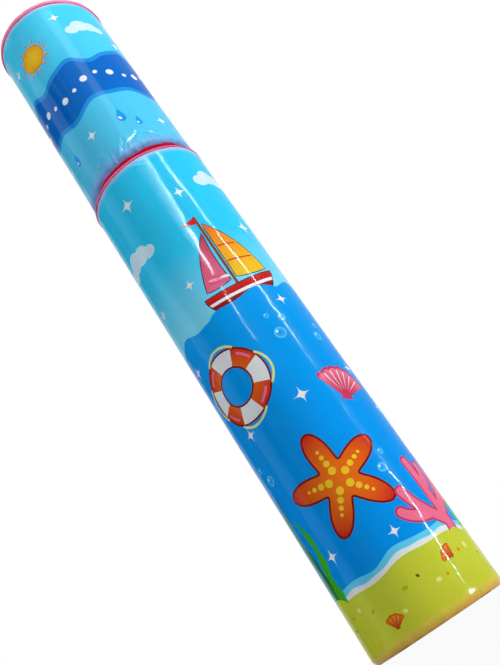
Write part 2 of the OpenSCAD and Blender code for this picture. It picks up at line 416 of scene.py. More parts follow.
    def beach_ball(self, at, radius, turn):
        self.add(disc(2.08 * radius, 72), NAVY, at)
        for i, colour in enumerate((RED, WHITE, YELLOW, WHITE, GREEN, WHITE)):
            self.add(sector(0, radius, turn + 60 * i, turn + 60 * i + 60), colour, at)
        self.add(disc(0.34 * radius, 24), ORANGE, at)
        self.add(oval(0.3 * radius, 0.5 * radius, 24), WHITE, beside(at, radius, -0.5, 0.5), 40)

    def parasol(self, at, height):
        lean = 12
        top = beside(at, height, -0.1, 0.5)
        self.add([(-0.012, 0), (0.012, 0), (0.012, 0.98), (-0.012, 0.98)], BROWN, at, lean, height)
        for i, colour in enumerate((RED, WHITE, RED, WHITE, RED)):
            self.add(sector(0, 0.46 * height, 36 * i, 36 * i + 36, 12), colour, top, lean)

    def sun(self, at, radius):
        for angle in range(0, 360, 30):
            self.add([(1.12, -0.1), (1.5, 0), (1.12, 0.1)], ORANGE, at, angle, radius)
        self.add(disc(2 * radius, 56), ORANGE, at)
        self.add(disc(1.84 * radius, 56), glow(YELLOW, ORANGE, at, 1.3 * radius), at)

    def drop(self, at, length):
        self.add(drop_outline(length), fade(NAVY_PALE, SEA_TOP, at[1] - length / 2, at[1]), at)
        self.add(oval(0.14 * length, 0.26 * length, 20), WHITE, beside(at, length, -0.1, -0.2), 20)


# The film: its form, and the mesh that carries the print


def ripple(angle, waves):
    """Waves round the axis, each given as turns, height and phase."""
    return sum(height * np.sin(turns * angle + phase) for turns, height, phase in waves)


def tilted(cut, angle):
    """Height of a slanting cut, given as its shift, its tilt and the angle where it is highest."""
    shift, tilt, lean = cut
    return shift + tilt * np.cos(angle - lean)


class Film:
    """A printed film round a foam sleeve, and where each flat position lands on it.
    Its upper edge sways on the foam, a cut slants film and foam alike, and a lower sway pushes
    the lower end up the sleeve. A crease has a start, an end, a width and a height."""

    def __init__(self, node, foam_node, wrap, seed, creases, sway=LEVEL, cut=LEVEL, low_sway=LEVEL):
        self.radius, _, self.high = node_size(node)
        self.round = 2 * math.pi * self.radius
        self.columns = round(self.round / PRINT_STEP)
        self.turn_v = node_size(foam_node)[1] + FOAM_EDGE
        self.turn_r = FOAM_EDGE + FILM_STANDOFF
        self.low = self.turn_v - self.turn_r * wrap
        self.random = np.random.default_rng(seed)
        self.pick = self.random.uniform
        self.waves = []
        self.pleats = []
        self.creases = creases
        self.sway = sway
        self.cut = cut
        self.low_sway = low_sway

    def add_waves(self, count, turns, length, height):
        """Gentle waves that close on themselves round the film."""
        for _ in range(count):
            sign = self.random.choice([-1, 1])
            self.waves.append((self.random.integers(*turns), sign * self.pick(*length),
                               self.pick(0, 2 * math.pi), height * self.pick(0.5, 1)))

    def add_pleats(self, count, at_top, width, height, reach):
        """Small gathers that run in from an edge of the film."""
        for i in range(count):
            place = self.round * ((i + self.pick(0, 0.9)) / count - 0.5)
            self.pleats.append((at_top, place, self.pick(*width), self.pick(*height), self.pick(*reach),
                                self.pick(-0.35, 0.35)))

    def top_sway(self, angle):
        """How far the cut upper edge wanders from straight."""
        return tilted(self.sway, angle) + ripple(angle, TOP_WANDER) + tilted(self.cut, angle)

    def relief(self, u, v):
        """How far the film stands out from its plain round, in millimetres."""
        out = np.zeros_like(u)
        for turns, length, phase, height in self.waves:
            out += height * np.cos(turns * u / self.radius + 2 * math.pi * v / length + phase)
        for at_top, place, width, height, reach, slant in self.pleats:
            inset = self.high - v if at_top else v - self.low
            aside = u - place - slant * inset
            aside = (aside + self.round / 2) % self.round - self.round / 2
            out += height * np.exp(-(aside / width) ** 2 - np.maximum(inset, 0) / reach)
        for start, end, width, height in self.creases:
            run = np.subtract(end, start)
            length = np.hypot(*run)
            across = u - start[0]
            up = v - start[1]
            along = (across * run[0] + up * run[1]) / length
            aside = (up * run[0] - across * run[1]) / length
            past = np.maximum(np.maximum(-along, along - length), 0)
            ridge = np.exp(-(aside / width) ** 2) - 0.6 * np.exp(-((aside - 1.6 * width) / width) ** 2)
            out += height * ridge * np.exp(-(past / (2 * width)) ** 2)
        seam = np.clip((np.abs(u) - self.round / 2 + SEAM_WIDTH) / SEAM_SOFTNESS, 0, 1)
        return out + SEAM_RISE * seam * seam * (3 - 2 * seam)

    def place(self, u, v, inset=0.0):
        """The point of the frame, in millimetres, at a flat position and a depth below the film."""
        reach = self.turn_r + (self.relief(u, v) - inset)
        angle = u / self.radius
        bend = np.maximum(self.turn_v - v, 0) / self.turn_r * (1 + ripple(angle, WRAP_WANDER))
        r = self.radius - self.turn_r + reach * np.cos(bend)
        z = np.maximum(v, self.turn_v) - reach * np.sin(bend)
        z = np.maximum(z, self.turn_v - FOAM_EDGE + FLOOR_GAP)
        top_share = np.clip(1 - (self.high - v) / SWAY_REACH, 0, 1) ** 2
        low_share = np.clip(1 - (v - self.low) / SWAY_REACH, 0, 1) ** 2
        z = z + top_share * self.top_sway(angle) + low_share * tilted(self.low_sway, angle)
        return np.stack([r * np.sin(angle), -r * np.cos(angle), z], -1)

    def normal(self, u, v):
        across = self.place(u + NORMAL_STEP, v) - self.place(u - NORMAL_STEP, v)
        along = self.place(u, v + NORMAL_STEP) - self.place(u, v - NORMAL_STEP)
        return unit(np.cross(across, along))


def grid_points(film):
    """Staggered rows of flat positions, closer together near the wrapped edge."""
    fine = np.arange(film.low, film.low + EDGE_ZONE, EDGE_STEP)
    count = round((film.high - fine[-1]) / (PRINT_STEP * math.sqrt(0.75)))
    rows = np.concatenate([fine, np.linspace(fine[-1], film.high, count + 1)[1:]])
    if len(rows) % 2 == 0:
        rows = np.delete(rows, len(rows) // 2)
    whole = np.linspace(-0.5, 0.5, film.columns + 1) * film.round
    between = np.concatenate([whole[:1], (whole[1:] + whole[:-1]) / 2, whole[-1:]])
    points = [np.stack(np.broadcast_arrays((whole, between)[i % 2], v), -1) for i, v in enumerate(rows)]
    return np.concatenate(points)


def resample(path):
    """The same path with points no further apart than the outline step."""
    steps = []
    for start, end in zip(path, path[1:]):
        count = max(1, math.ceil(np.hypot(*(end - start)) / OUTLINE_STEP))
        steps.append(start + (end - start) * (np.arange(count) / count)[:, None])
    return np.concatenate([*steps, path[-1:]])


def flat_triangles(film, lines, printed):
    """Cuts the flat film into triangles along every printed line and outline.
    Gives the flat points, the triangles, the index of each one's topmost shape or -1, and
    how many lines lie below each one."""
    grid = grid_points(film)
    drawn = [resample(edge) for edge in lines]
    drawn += [resample(np.concatenate([outline, outline[:1]]))[:-1] for outline, _ in printed.shapes]
    marks = np.concatenate(drawn)
    tree = KDTree(len(marks))
    for i, point in enumerate(marks):
        tree.insert((*point, 0), i)
    tree.balance()
    side = film.round / 2 - PRINT_STEP / 4
    inner = (np.abs(grid[:, 0]) < side) & (grid[:, 1] > film.low) & (grid[:, 1] < film.high)
    near = np.array([tree.find((*p, 0))[2] < OUTLINE_ROOM * PRINT_STEP for p in grid])
    points = [*grid[~(inner & near)]]
    edges = []
    faces = []
    for i, mark in enumerate(drawn):
        numbers = list(range(len(points), len(points) + len(mark)))
        points.extend(mark)
        if i < len(lines):
            edges += zip(numbers, numbers[1:])
        else:
            faces.append(numbers)
    made = delaunay_2d_cdt([Vector(p) for p in points], edges, faces, 0, CUT_ACCURACY, True)
    flat = np.array(made[0])
    triangles = np.array(made[2])
    top = np.array([max(found, default=-1) for found in made[5]])
    middle_u, middle_v = flat[triangles].mean(1).T
    zone = np.sum([middle_v > np.interp(middle_u, *edge.T) for edge in lines], 0)
    return flat, triangles, top, zone


def film_piece(name, film, lines, zones, printed, material, lining):
    """Builds the film as a thin closed shell with its print as a colour attribute."""
    flat, triangles, top, zone = flat_triangles(film, lines, printed)
    columns = film.columns
    u, v = flat.T
    corner_u = u[triangles]
    corner_v = v[triangles]
    colours = np.ones((len(triangles), 3, 4))
    chosen = np.where(top >= 0, top + len(zones), zone)
    for i, fill in enumerate([*zones, *(fill for _, fill in printed.shapes)]):
        own = chosen == i
        colours[own, :, :3] = fill(corner_u[own], corner_v[own])

    # The two sides meet at the back, so each point of the right side becomes its twin on the left
    weld = np.arange(len(flat))
    left = np.flatnonzero(u < -film.round / 2 + SAME_PLACE)
    right = np.flatnonzero(u > film.round / 2 - SAME_PLACE)
    weld[right[np.argsort(v[right])]] = left[np.argsort(v[left])]
    kept = np.unique(weld)
    number = np.searchsorted(kept, weld)
    outer = film.place(u[kept], v[kept])

    # The lining: rings that follow the wrapped edge and the straight wall
    wall_rings = round((film.high - film.turn_v) / LINING_STEP)
    ring_v = np.concatenate([np.linspace(film.low, film.turn_v, WRAP_RINGS, endpoint=False),
                             np.linspace(film.turn_v, film.high, wall_rings + 1)])
    ring_u = np.linspace(-0.5, 0.5, columns, endpoint=False) * film.round
    inner = film.place(*np.meshgrid(ring_u, ring_v), inset=FILM_THICK)
    rings = len(outer) + np.arange(len(ring_v) * columns).reshape(-1, columns)
    points = np.concatenate([outer, inner.reshape(-1, 3)]) * MM

    def edge_ring(height):
        found = np.flatnonzero(np.abs(v - height) < SAME_PLACE)
        return number[found[np.argsort(u[found])][:-1]]

    def strip(first, second):
        return np.stack([first, np.roll(first, -1), np.roll(second, -1), second], -1)

    quads = [strip(upper, lower) for lower, upper in zip(rings, rings[1:])]
    quads += [strip(rings[0], edge_ring(film.low)), strip(edge_ring(film.high), rings[-1])]
    quads = np.concatenate(quads)
    piece = add_mesh(name, points.tolist(), number[triangles].tolist() + quads.tolist(), material, lining)
    mesh = piece.data
    slots = np.repeat(np.array([0, 1], np.int32), [len(triangles), len(quads)])
    mesh.polygons.foreach_set("material_index", slots)

    # Ink at each corner, then the flat map and the true normals
    attribute = mesh.color_attributes.new("print", "FLOAT_COLOR", "CORNER")
    backing = np.ones((4 * len(quads), 4))
    attribute.data.foreach_set("color", np.concatenate([colours.reshape(-1, 4), backing]).ravel())
    print_v = PRINT_MAP * (corner_v - film.low) / (film.high - film.low)
    print_uv = np.stack([corner_u / film.round + 0.5, print_v], -1).reshape(-1, 2)
    rows = len(quads) // columns
    across, along = np.meshgrid(np.arange(columns) / columns, np.arange(rows) / rows)
    corner_across = across.reshape(-1, 1) + np.array([0, 1, 1, 0]) / columns
    corner_along = along.reshape(-1, 1) + np.array([0, 0, 1, 1]) / rows
    lining_v = LINING_MAP + LINING_MAP_HEIGHT * corner_along
    lining_uv = np.stack([corner_across, lining_v], -1).reshape(-1, 2)
    flat_map = mesh.uv_layers.new(name="OFBake")
    flat_map.data.foreach_set("uv", np.concatenate([print_uv, lining_uv]).ravel())
    outside = film.normal(u, v)[triangles].reshape(-1, 3)
    corners = points[quads]
    inside = unit(np.cross(corners[:, 2] - corners[:, 0], corners[:, 3] - corners[:, 1]))
    mesh.normals_split_custom_set(np.concatenate([outside, np.repeat(inside, 4, 0)]).tolist())
    return piece


# Materials


class Nodes:
    """The nodes of a material or of the world."""

    def __init__(self, data):
        data.use_nodes = True
        self.data = data
        self.nodes = data.node_tree.nodes

    def put(self, socket, value):
        """Links an output to an input, or sets a plain value on it."""
        if isinstance(value, bpy.types.NodeSocket):
            self.data.node_tree.links.new(value, socket)
        elif hasattr(value, "__len__") and len(socket.default_value) == 4:
            socket.default_value = (*value, 1)
        else:
            socket.default_value = value

    def node(self, kind, *values, **named):
        """A new node, with inputs linked or set in their order or by name."""
        made = self.nodes.new("ShaderNode" + kind)
        for socket, value in zip(made.inputs, values):
            self.put(socket, value)
        for name, value in named.items():
            self.put(made.inputs[name], value)
        return made

    def math(self, operation, *values):
        node = self.node("Math", *values)
        node.operation = operation
        return node.outputs[0]

    def ramp(self, value, *limits):
        """A value carried smoothly from one range to another, or to the range from 0 to 1."""
        node = self.node("MapRange", value, *limits)
        node.interpolation_type = "SMOOTHSTEP"
        return node.outputs["Result"]

    def mix(self, share, first, second, blend="MIX"):
        node = self.node("Mix")
        node.data_type = "RGBA"
        node.blend_type = blend
        for name, value in (("Factor", share), ("A", first), ("B", second)):
            self.put(node.inputs[name], value)
        return node.outputs["Result"]

    def shown_ray(self):
        """1 for rays that show the surroundings: seen straight, in gloss or through glass."""
        path = self.node("LightPath").outputs
        seen = self.math("MAXIMUM", path["Is Camera Ray"], path["Is Glossy Ray"])
        return self.math("MAXIMUM", seen, path["Is Transmission Ray"])

    def show(self, share, first, second, output):
        """Sends a mix of two shaders to the output."""
        node = self.node("MixShader", share, first.outputs[0], second.outputs[0])
        self.put(self.nodes[output].inputs["Surface"], node.outputs[0])


class Material(Nodes):
    """A node material in millimetres of the object's own frame."""

    def __init__(self, name, **constants):
        super().__init__(bpy.data.materials.new(name))
        self.shader = self.nodes["Principled BSDF"]
        self.place = self.node("TexCoord").outputs["Object"]
        for socket, value in constants.items():
            self.put(self.shader.inputs[socket.replace("_", " ")], value)

    def scaled_place(self, size, stretch=1.0):
        """Places in steps of a size in millimetres, drawn out along the axis."""
        scale = 1 / (size * MM)
        mapping = self.node("Mapping", Vector=self.place, Scale=(scale, scale, scale / stretch))
        return mapping.outputs["Vector"]

    def noise(self, size, detail=2.0, stretch=1.0):
        place = self.scaled_place(size, stretch)
        return self.node("TexNoise", Vector=place, Scale=1, Detail=detail).outputs["Fac"]

    def cells(self, size):
        """Rounded cells: the distance from each cell's middle."""
        return self.node("TexVoronoi", Vector=self.scaled_place(size), Scale=1).outputs["Distance"]

    def uneven(self, low, high, *noise):
        """A value that a noise carries from low to high."""
        return self.ramp(self.noise(*noise), NOISE_LOW, NOISE_HIGH, low, high)

    def along_axis(self, vector):
        return self.node("SeparateXYZ", vector).outputs["Z"]

    def bump(self, height, depth, **below):
        """A bump whose full range of height stands for a depth in millimetres."""
        return self.node("Bump", Distance=depth * MM, Height=height, **below).outputs["Normal"]

    def finish(self, colour, roughness, normal):
        for name, value in (("Base Color", colour), ("Roughness", roughness), ("Normal", normal)):
            self.put(self.shader.inputs[name], value)
        return self.data


def film_material(name, film, edge_tint, edge_depth, edge_strength, ragged, crinkle, crinkle_reach):
    """Glossy printed film. The foam shows through where the film is drawn over its lower edge,
    and the film is crinkled there, and a little at its cut upper edge."""
    m = Material(name, IOR=1.3, Specular_IOR_Level=0.01, Coat_Weight=0.6, Coat_Roughness=0.04, Coat_IOR=1.12)
    printed = m.node("VertexColor")
    printed.layer_name = "print"
    drift = m.uneven(0.95, 1.03, 24, 3, 3)
    grain = m.uneven(0.97, 1.02, 0.5)
    colour = m.mix(1.0, printed.outputs["Color"], m.math("MULTIPLY", drift, grain), "MULTIPLY")
    low = (film.turn_v - FOAM_EDGE) * MM
    high = film.high * MM
    height = m.along_axis(m.place)
    wander = m.math("MULTIPLY", m.noise(1.6, 3), ragged * edge_depth * MM)
    start = low + 0.5 * ragged * edge_depth * MM
    wandering = m.math("ADD", height, wander)
    showing = m.ramp(wandering, start, start + edge_depth * MM, edge_strength, 0.0)
    colour = m.mix(showing, colour, edge_tint)
    normal = m.bump(m.noise(26, 2, 5), 0.05)
    for noise, depth in (((4.5, 2, 1.6), 0.012), ((1.3, 1), 0.004), ((0.6, 1), 0.0015)):
        normal = m.bump(m.noise(*noise), depth, Normal=normal)
    near_low = m.ramp(height, low, low + crinkle_reach * MM, 1.0, 0.0)
    near_high = m.ramp(height, high - CRINKLED_TOP * MM, high, 0.0, 0.5)
    near_edge = m.math("MAXIMUM", near_low, near_high)
    normal = m.bump(m.math("MULTIPLY", m.noise(3.2, 2, 1.8), near_edge), crinkle, Normal=normal)
    m.put(m.shader.inputs["Coat Normal"], normal)
    return m.finish(colour, m.uneven(0.26, 0.38, 9, 3, 4), normal)


def lining_material():
    """The film's unprinted back and its cut edge."""
    m = Material("film_back", IOR=1.5, Specular_IOR_Level=0.1)
    colour = m.mix(m.noise(6, 3), ink(232, 236, 240), ink(205, 214, 222))
    return m.finish(colour, m.uneven(0.3, 0.45, 4), m.bump(m.noise(3), 0.04))


def foam_material():
    """Pink closed-cell foam with a paler skin. Faces turned along the axis, at the ends and in the gap
    between the sleeves, take a deeper red as painted shade.
    """
    m = Material("pink_foam", IOR=1.45, Specular_IOR_Level=0.1, Sheen_Weight=0.15, Sheen_Roughness=0.5)
    cell = m.cells(0.8)
    normal = m.node("NewGeometry").outputs["True Normal"]
    # Painted shade: faces turned along the axis get a deeper red that stands in for the shade in the gap
    # between the sleeves
    painted_shade_face = m.ramp(m.math("ABSOLUTE", m.along_axis(normal)), 0.6, 0.95)
    colour = m.mix(m.ramp(cell, 0.1, 0.7), FOAM_PINK, FOAM_DARK)
    colour = m.mix(m.ramp(m.noise(12, 3), 0.35, 0.7, 0.0, 0.35), colour, FOAM_PALE)
    colour = m.mix(painted_shade_face, colour, FOAM_PAINTED_SHADE)
    relief = m.bump(cell, -0.12, Normal=m.bump(m.noise(5), 0.2))
    return m.finish(colour, m.uneven(0.62, 0.85, 2), relief)


def tube_material():
    """Smooth off-white tube with the faint lengthwise lines of its die."""
    m = Material("extruded_tube", IOR=1.49, Specular_IOR_Level=0.03, Coat_Weight=0.15, Coat_Roughness=0.2,
                 Coat_IOR=1.12)
    die_lines = (0.8, 3, 120)
    colour = m.mix(m.uneven(0, 1, *die_lines), ink(218, 220, 219), ink(206, 209, 209))
    colour = m.mix(m.ramp(m.noise(20, 3), 0.45, 0.7, 0.0, 0.4), colour, ink(211, 211, 203))
    return m.finish(colour, m.uneven(0.28, 0.42, 6, 2, 8), m.bump(m.noise(*die_lines), 0.015))


def moulded_material():
    """Satin moulded plastic with a fine sparked texture."""
    m = Material("moulded_plastic", IOR=1.49, Specular_IOR_Level=0.02)
    colour = m.mix(m.uneven(0, 1, 9, 3), ink(216, 216, 213), ink(204, 206, 204))
    return m.finish(colour, m.uneven(0.48, 0.6, 3), m.bump(m.noise(0.35), 0.025))


def rubber_material():
    """Matte black rubber with a dusty bloom."""
    m = Material("black_rubber", IOR=1.5, Specular_IOR_Level=0.1)
    colour = m.mix(m.ramp(m.noise(2.5, 4), 0.45, 0.75), ink(30, 30, 31), ink(58, 57, 56))
    return m.finish(colour, m.uneven(0.6, 0.8, 1.5, 3), m.bump(m.noise(0.4, 3), 0.03))


def zinc_material():
    """Bright zinc plating with fine scratches and duller patches."""
    m = Material("zinc_plating", Metallic=1.0)
    colour = m.mix(m.ramp(m.noise(1.6, 3), 0.35, 0.7), ink(196, 198, 202), ink(164, 168, 174))
    return m.finish(colour, m.uneven(0.2, 0.42, 1.2, 4), m.bump(m.noise(0.25, 3, 6), 0.008))


# The foam


def arc(r, z, radius, start, end, count):
    return around(radius, np.radians(np.linspace(start, end, count))) + [r, z]


def line(start, end, count):
    """Points from start up to, but not including, end."""
    share = (np.arange(count) / count)[:, None]
    return np.asarray(start) + (np.asarray(end) - start) * share


def foam_piece(name, node, tube_node, flange_node, film, seed, material):
    """A foam sleeve with a soft lower edge, a swollen rim above the film and a pocket in each end."""
    rim_r, low, high = node_size(node)
    tube_r, low_pocket, high_pocket = node_size(tube_node)
    sleeve_r = tube_r + FIT_GAP
    pocket_r = node_size(flange_node)[0] + FIT_GAP
    mouth_r = pocket_r + MOUTH_ROUND
    foam_r = film.radius - FILM_STANDOFF - FOAM_SLACK
    phases = np.random.default_rng(seed).uniform(0, 2 * math.pi, 8)
    cut_waves = [(3 + 5 * i, 0.05 / (1 + 0.4 * i), phases[i]) for i in range(5)]
    swell_waves = ((4, 0.06, phases[5]), (11, 0.05, phases[6]))
    rings = []
    for angle in np.linspace(-math.pi, math.pi, FOAM_SEGMENTS, endpoint=False):
        film_top = film.high + film.top_sway(angle)
        top = high - RIM_ROOM + ripple(angle, cut_waves) + tilted(film.cut, angle)
        edge = low + tilted(film.low_sway, angle)
        bead = min(BEAD_ROUND, (top - film_top) / 2)
        crown = min(CROWN_ROUND, (top - film_top) / 2)
        bead_r = rim_r - RIM_ROOM + ripple(angle, swell_waves)
        profile = np.concatenate([
            line((pocket_r, low_pocket), (pocket_r, edge + MOUTH_ROUND), 4),
            arc(mouth_r, edge + MOUTH_ROUND, MOUTH_ROUND, 180, 270, 4),
            line((mouth_r + PROFILE_GAP, edge), (foam_r - FOAM_EDGE, edge), 8),
            arc(foam_r - FOAM_EDGE, edge + FOAM_EDGE, FOAM_EDGE, -90, 0, 14),
            line((foam_r, edge + FOAM_EDGE + 5 * PROFILE_GAP), (foam_r, film_top - FLARE_DEPTH), 6),
            line((foam_r, film_top - FLARE_DEPTH), (foam_r + FLARE, film_top), 2),
            arc(bead_r - bead, film_top + bead, bead, -90, 0, 7),
            arc(bead_r - crown, top - crown, crown, 2, 90, 8),
            line((bead_r - crown - 3 * PROFILE_GAP, top), (mouth_r, top), 8),
            arc(mouth_r, top - MOUTH_ROUND, MOUTH_ROUND, 90, 180, 4),
            line((pocket_r, top - MOUTH_ROUND - PROFILE_GAP), (pocket_r, high_pocket), 4),
            line((pocket_r, high_pocket), (sleeve_r, high_pocket), 3),
            line((sleeve_r, high_pocket), (sleeve_r, low_pocket), 4),
            line((sleeve_r, low_pocket), (pocket_r, low_pocket), 3),
        ])
        r, z = profile.T
        rings.append(np.stack([r * math.sin(angle), -r * math.cos(angle), z], -1))
    points = np.array(rings) * MM
    number = np.arange(points.size // 3).reshape(points.shape[:2])
    after = np.roll(number, -1, axis=0)
    faces = np.stack([number, after, np.roll(after, -1, axis=1), np.roll(number, -1, axis=1)], -1)
    piece = add_mesh(name, points.reshape(-1, 3).tolist(), faces.reshape(-1, 4).tolist(), material)
    piece.data.set_sharp_from_angle(angle=FOAM_CREASE)
    return piece


# What is printed: the lines between the zones, the zones from the lowest up, and the motifs


def wavy_lines(film, *rows):
    """Lines right round the film. A row has a height, and waves of turns, height and phase."""
    u = np.linspace(-0.5, 0.5, round(film.round / OUTLINE_STEP) + 1) * film.round
    lines = []
    for height, *waves in rows:
        v = height + ripple(u / film.radius, waves)
        v[-1] = v[0]
        lines.append(np.stack([u, v], -1))
    return lines


def barrel_print(film):
    """Sky, sea and sand with boats, shells, weed and stars, for both sides of the barrel."""
    lines = wavy_lines(
        film, (23.6, (3, 1.0, 0.4), (8, 0.5, 1.2)), (25.4, (3, 1.0, 0.4), (8, 0.6, 1.1), (17, 0.2, 1)),
        (27.6, (3, 1.0, 0.4), (8, 0.8, 1.0), (13, 0.2, 2)), (139.0, (6, 1.5, 0.9), (12, 0.5, 0)),
        (141.4, (6, 1.6, 0.7), (12, 0.6, 0.4)))
    sea = fade(SEA_LOW, SEA_TOP, 30, 139)
    sky = veiled_top(fade(SKY_PALE, SKY, 142, 172), film)
    zones = [fade(SAND_LOW, SAND, -6, 14), plain(SURF), plain(SEA_PALE), sea, plain(SKY_PALE), sky]
    back = film.round / 2
    p = Print()
    p.sailboat((9, 139), 34)
    scatter(p.cloud, ((-24, 182, 24), (31, 200, 22)))
    p.lifebuoy((-15, 110), 15.5, 20, sea)
    p.shell((21, 84), 14, -24)
    p.starfish((-1, 58), 20, 96)
    for u, *weed in ((-33, 46, 2.4, GREEN_DARK, 5), (-27, 34, -2.2, GREEN, 4.6), (-40, 30, 2, GREEN, 4.4),
                     (36, 26, 1.6, GREEN, 4)):
        p.seaweed((u, 22), *weed)
    p.coral((27, 21), 32, PINK, PINK_DARK)
    for u, width in ((-33, 17), (27, 12), (37, 8)):
        p.add(bends((width / 2, 0), (0, -0.4), (-width / 2, 0), (0, width * 0.55)), SAND, (u, 21))
    scatter(p.bubble, (
        (12, 118, 5), (16.5, 124, 3.2), (11, 127, 2.2), (-27, 74, 4.4), (-30, 80, 2.8), (15, 54, 3.6),
        (18.5, 59.5, 2.4), (28, 112, 4), (31, 117.5, 2.4)))
    scatter(p.sparkle, (
        (-12, 205, 4), (10, 196, 3.2), (-30, 158, 3.4), (30, 172, 4), (-8, 156, 2.8), (-31, 128, 3.4),
        (22, 132, 3), (-22, 92, 3), (5, 92, 3.6), (34, 96, 3), (-20, 38, 3), (5, 33, 2.6)))
    p.beach_ball((back - 24, 108), 18, 14)
    p.parasol((back - 20, 20), 52)
    p.starfish((-back + 16, 84), 15, 80, YELLOW, ORANGE_DARK, WHITE)
    p.shell((-back + 20, 44), 12, 18, ORANGE, ORANGE_DARK)
    p.lifebuoy((-back + 22, 124), 11, 50, sea)
    p.sailboat((back - 30, 139), 26)
    scatter(p.cloud, ((-back + 22, 190, 26), (back - 22, 204, 18)))
    scatter(p.bubble, ((back - 10, 80, 4.6), (back - 6, 86, 3), (back - 50, 76, 4), (back - 46, 82, 2.4)))
    scatter(p.sparkle, (
        (back - 12, 160, 3.6), (back - 38, 190, 3.4), (-back + 30, 156, 3.6), (-back + 10, 104, 3),
        (back - 30, 84, 3.2), (back - 14, 128, 3)))
    random = np.random.default_rng(5)
    for i in range(PEBBLES):
        u = film.round * ((i + 0.5) / PEBBLES - 0.5) + random.uniform(-1.2, 1.2)
        v = random.uniform(7.5, 19)
        size = random.uniform(1.2, 3)
        colour = (SAND_DARK, ORANGE, SAND_PALE, BROWN)[random.integers(4)]
        if i % 6 == 2:
            p.shell((u, v - 2), 4.6, random.uniform(-40, 40), ORANGE, ORANGE_DARK, SAND_PALE, 4)
        else:
            p.add(oval(size, 0.7 * size, 16), colour, (u, v), random.uniform(0, 180))
    return lines, zones, p


def handle_print(film):
    """A band of dark waves with white dots, under suns and clouds."""
    low_waves = ((4, 2.2, 0.3), (8, 1.0, 1.4))
    high_waves = ((6, 2.4, 1.9), (12, 0.7, 0.4))
    lines = wavy_lines(film, (259.5, *low_waves), (262.0, *low_waves),
                       (285.5, *high_waves), (288.0, *high_waves))
    sky = fade(HANDLE_SKY_LOW, HANDLE_SKY, film.low, film.high)
    zones = [sky, plain(NAVY_PALE), plain(NAVY), plain(NAVY_PALE), veiled_top(sky, film)]
    p = Print()
    motifs = (
        (p.sun, ((-12, 304, 7),)),
        (p.cloud, ((19, 306, 20),)),
        (p.drop, ((8, 247, 8), (14, 241, 5.5), (-22, 245, 7))),
        (p.sparkle, ((-26, 309, 3.6), (8, 317, 3.2), (32, 296, 3.4), (-8, 246, 3.2), (26, 240, 3),
                     (-34, 248, 2.8))),
    )
    # The back repeats the front half a turn round
    for shift in (0, film.round / 2):
        for draw, rows in motifs:
            scatter(draw, [(u - math.copysign(shift, u), v, size) for u, v, size in rows])
    for i in range(BAND_DOTS):
        u = film.round * ((i + 0.5) / BAND_DOTS - 0.5)
        middle = 273.5 + 2.6 * math.sin(5 * u / film.radius)
        p.add(disc(3.6 if i % 2 else 2.2, 24), WHITE, (u, middle))
    return lines, zones, p


# The films and the foam under them

barrel = Film("barrel_film", "barrel_foam", BARREL_WRAP, 3, sway=(0, 0.4, 1.4), creases=(
    ((0.8, 150.9), (6.9, 149.0), 0.8, 0.4), ((1.2, 217.6), (4.2, 216.2), 0.6, 0.2),
    ((-52, 96), (-47, 88), 1.0, 0.16), ((60, 178), (66, 173), 1.0, 0.18)))
barrel.add_waves(14, (2, 7), (40, 130), 0.018)
barrel.add_waves(16, (9, 26), (60, 220), 0.006)
barrel.add_waves(16, (8, 22), (9, 24), 0.004)
barrel.add_pleats(46, False, (0.9, 2.2), (0.06, 0.26), (2, 6))
barrel.add_pleats(26, True, (1, 2.6), (0.03, 0.12), (2, 6))

handle = Film("handle_film", "handle_foam", HANDLE_WRAP, 8, cut=(-2.0, 2.3, -1.03),
              low_sway=(-0.8, 1.0, 1.05), creases=(
    ((1.2, 234.6), (-1.9, 229.0), 0.7, 0.32), ((4.9, 230.9), (9.7, 234.2), 0.7, 0.34),
    ((13.4, 233.2), (18.6, 230.1), 0.7, 0.3), ((-13.5, 231), (-10, 234.5), 0.8, 0.25),
    ((50, 236), (54, 230), 0.8, 0.3), ((-60, 231), (-64, 236), 0.8, 0.3)))
handle.add_waves(12, (2, 6), (40, 120), 0.018)
handle.add_waves(16, (9, 26), (80, 240), 0.006)
handle.add_pleats(54, False, (0.6, 1.8), (0.14, 0.42), (2.5, 8))
handle.add_pleats(22, True, (1, 2.6), (0.03, 0.1), (2, 5))

lining = lining_material()
foam = foam_material()
# The barrel's edge tint is foam seen through the film, lightened as painted light against the floor's shade
barrel_look = film_material("barrel_film_print", barrel, FOAM_UNDER_SAND_PAINTED_LIGHT, edge_depth=5.0, edge_strength=0.95,
                            ragged=1.3, crinkle=0.4, crinkle_reach=5)
handle_look = film_material("handle_film_print", handle, FOAM_UNDER_SKY, edge_depth=7.0, edge_strength=0.6,
                            ragged=0.5, crinkle=0.8, crinkle_reach=13)
barrel_film = film_piece("barrel_printed_film", barrel, *barrel_print(barrel), barrel_look, lining)
handle_film = film_piece("handle_printed_film", handle, *handle_print(handle), handle_look, lining)
barrel_foam = foam_piece("barrel_foam_sleeve", "barrel_foam", "pump_tube", "nozzle_plug", barrel, 11, foam)
handle_foam = foam_piece("handle_foam_grip", "handle_foam", "handle_tube", "handle_cap", handle, 12, foam)

for piece, node, body, slot in (
        (barrel_film, "barrel_film", "barrel", "barrel_print"),
        (handle_film, "handle_film", "plunger", "handle_print"),
        (barrel_foam, "barrel_foam", "barrel", "foam"),
        (handle_foam, "handle_foam", "plunger", "foam")):
    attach(piece, body)
    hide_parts(node)

# The pump's own pieces keep their CAD shape and take a finish by slot

finishes = {"tube": tube_material(), "moulded": moulded_material(), "seal": rubber_material(),
            "screw": zinc_material()}
for subpart in frame["record"]["subparts"]:
    if subpart["material_slot"] in finishes:
        node = frame["nodes"][subpart["node"]]
        node.data.materials.clear()
        node.data.materials.append(finishes[subpart["material_slot"]])

# Camera at the photograph's viewing angle

